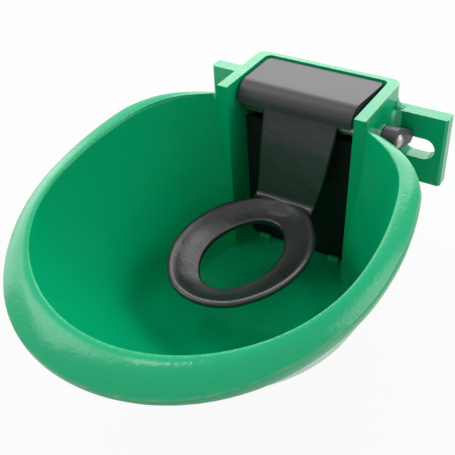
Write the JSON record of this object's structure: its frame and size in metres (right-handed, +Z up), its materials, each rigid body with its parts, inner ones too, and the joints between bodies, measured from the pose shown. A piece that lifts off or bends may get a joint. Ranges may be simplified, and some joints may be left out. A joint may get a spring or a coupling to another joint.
{
  "type": "livestock drinking bowl",
  "caption": "Wall-mounted oval cast drinking bowl with a press tongue that opens a spring valve behind a guard plate.",
  "frame": {"origin": "on the wall plane, midway between the two bolt slots", "axes": "+Z up, +Y into the wall, +X to the right for someone who faces the wall"},
  "size_m": [0.2122, 0.2668, 0.1565],
  "materials": {
    "enamel": "glossy green enamel over cast iron",
    "cover_black": "satin black moulded plastic",
    "guard_black": "matt black moulded plastic",
    "tongue_black": "glossy black enamel over cast iron",
    "keeper_black": "matt black moulded plastic",
    "steel": "stainless steel, turned",
    "brass": "turned brass",
    "rubber": "black rubber",
    "nylon": "natural nylon",
    "zinc": "zinc plated steel"
  },
  "bodies": {
    "bowl": {"bowl_casting": "enamel", "guard_plate": "guard_black", "pin_keeper": "keeper_black", "valve_body": "brass", "valve_nut": "brass", "valve_seat": "nylon", "inlet_strainer": "nylon", "riser_gasket": "rubber", "lock_washer": "zinc", "locknut": "brass"},
    "pin": {"hinge_pin": "steel", "pin_retaining_ring": "steel"},
    "tongue": {"tongue": "tongue_black"},
    "stem": {"valve_stem": "steel", "push_button": "nylon", "seal_disc": "rubber", "seal_washer": "brass", "seal_nut": "brass", "valve_spring": "steel"},
    "cover": {"valve_cover": "cover_black"},
    "flow_screw": {"flow_screw": "brass"}
  },
  "joints": [
    {"name": "tongue_press", "type": "hinge", "parent": "bowl", "child": "pin", "pos_m": [0, -0.038, 0.019], "axis": [1, 0, 0], "range_deg": [0, 8], "stiffness_Nm_per_rad": 1.5, "springref_deg": -12.61},
    {"name": "tongue_lift", "type": "hinge", "parent": "pin", "child": "tongue", "pos_m": [0, -0.038, 0.019], "axis": [1, 0, 0], "range_deg": [-45, 0]},
    {"name": "stem_slide", "type": "slide", "parent": "bowl", "child": "stem", "axis": [0, 1, 0], "range_m": [0, 0.0041], "deforming": ["valve_spring"]},
    {"name": "cover_lift", "type": "slide", "parent": "bowl", "child": "cover", "axis": [0, 0, 1], "range_m": [0, 0.06]},
    {"name": "flow_screw_turn", "type": "hinge", "parent": "bowl", "child": "flow_screw", "pos_m": [0, -0.018, 0.008], "axis": [0, 0, 1], "range_deg": [-360, 360]}
  ],
  "couplings": [
    {"joint": "stem_slide", "follows": "tongue_press", "m_per_rad": 0.029}
  ]
}
